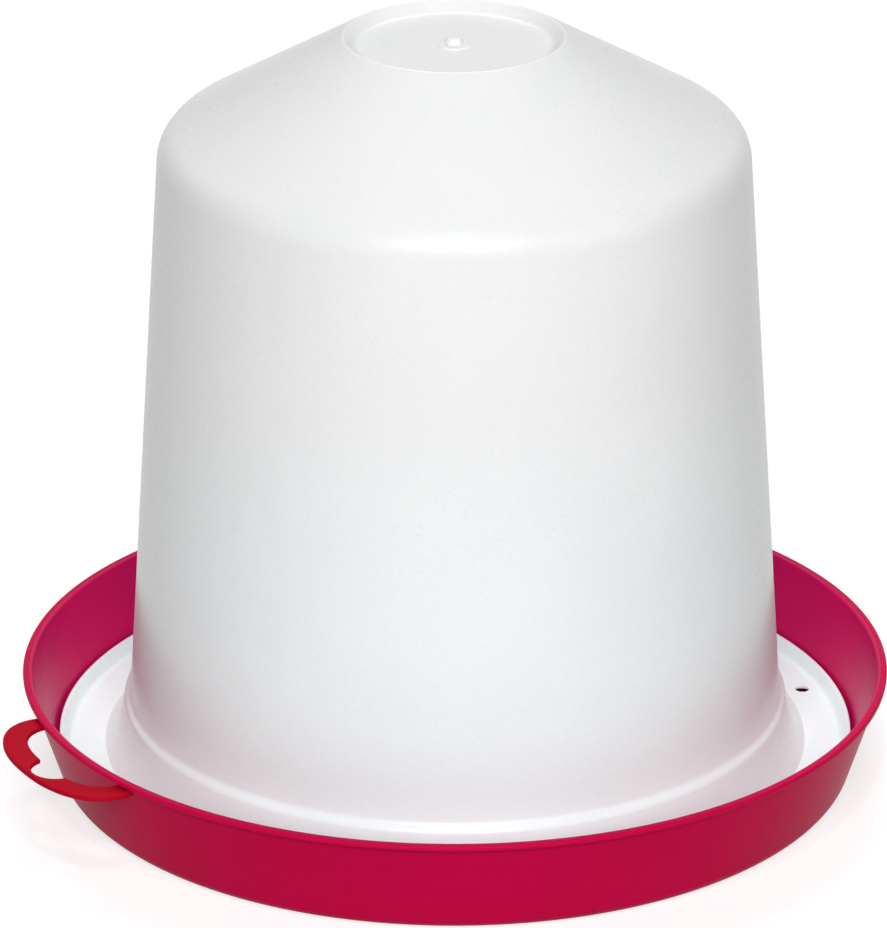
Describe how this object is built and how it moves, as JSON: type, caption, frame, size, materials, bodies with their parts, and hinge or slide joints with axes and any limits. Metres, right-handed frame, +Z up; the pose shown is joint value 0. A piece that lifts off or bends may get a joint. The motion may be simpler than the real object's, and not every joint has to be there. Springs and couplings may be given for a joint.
{
  "type": "poultry waterer fount",
  "caption": "Upturned plastic bell with a brim that stands in a shallow flared drinking tray with a hanging ear, and lifts off for filling",
  "frame": {"origin": "centre of the flat ring that the tray stands on, on the axis of the fount", "axes": "+Z up along the fount's axis, the hanging ear lies toward -X and -Y, +X is opposite"},
  "size_m": [0.334, 0.33, 0.292],
  "materials": {
    "tray": "crimson moulded polyethylene, soft gloss",
    "ear": "scarlet moulded polyethylene, soft gloss",
    "fount": "white moulded polyethylene, fine satin grain"
  },
  "bodies": {
    "tray_body": {"tray": "tray", "hanging_ear": "ear"},
    "fount_body": {"fount": "fount"}
  },
  "joints": [
    {"name": "fount_lift", "type": "slide", "parent": "tray_body", "child": "fount_body", "axis": [0, 0, 1], "range_m": [0, 0.11]}
  ]
}
